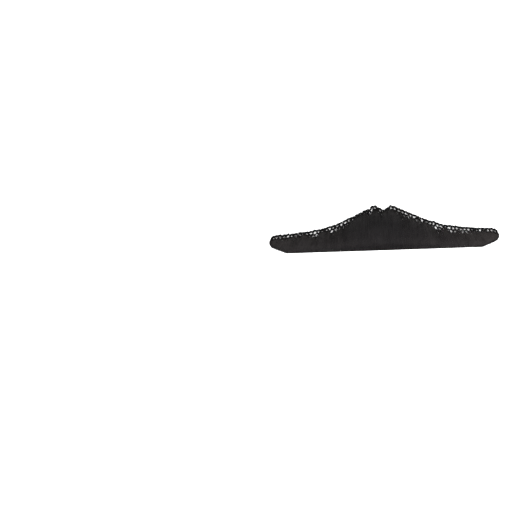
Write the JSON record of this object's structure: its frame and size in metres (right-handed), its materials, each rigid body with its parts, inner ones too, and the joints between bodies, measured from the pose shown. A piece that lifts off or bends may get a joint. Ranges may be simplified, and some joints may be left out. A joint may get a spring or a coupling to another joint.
{
  "type": "fake moustache",
  "caption": "Short dark false moustache combed down and outwards from a centre parting, trimmed straight along the lip and tied to a hexagonal lace net.",
  "frame": {"origin": "middle of the back of the lace, halfway between the tips and halfway between the trimmed edge and the peaks", "axes": "+X from tip to tip, towards the wing on the right in the front view; +Y up the lip towards the nose; +Z out of the lip through the hair"},
  "size_m": [0.0846, 0.0164, 0.0031],
  "materials": {
    "hair": "smooth combed hair, near-black brown, with a low soft sheen along the strands",
    "lace": "matt black knotted thread"
  },
  "bodies": {
    "root": {"lace_net": "lace", "hair_right": "hair", "hair_left": "hair"}
  },
  "joints": []
}
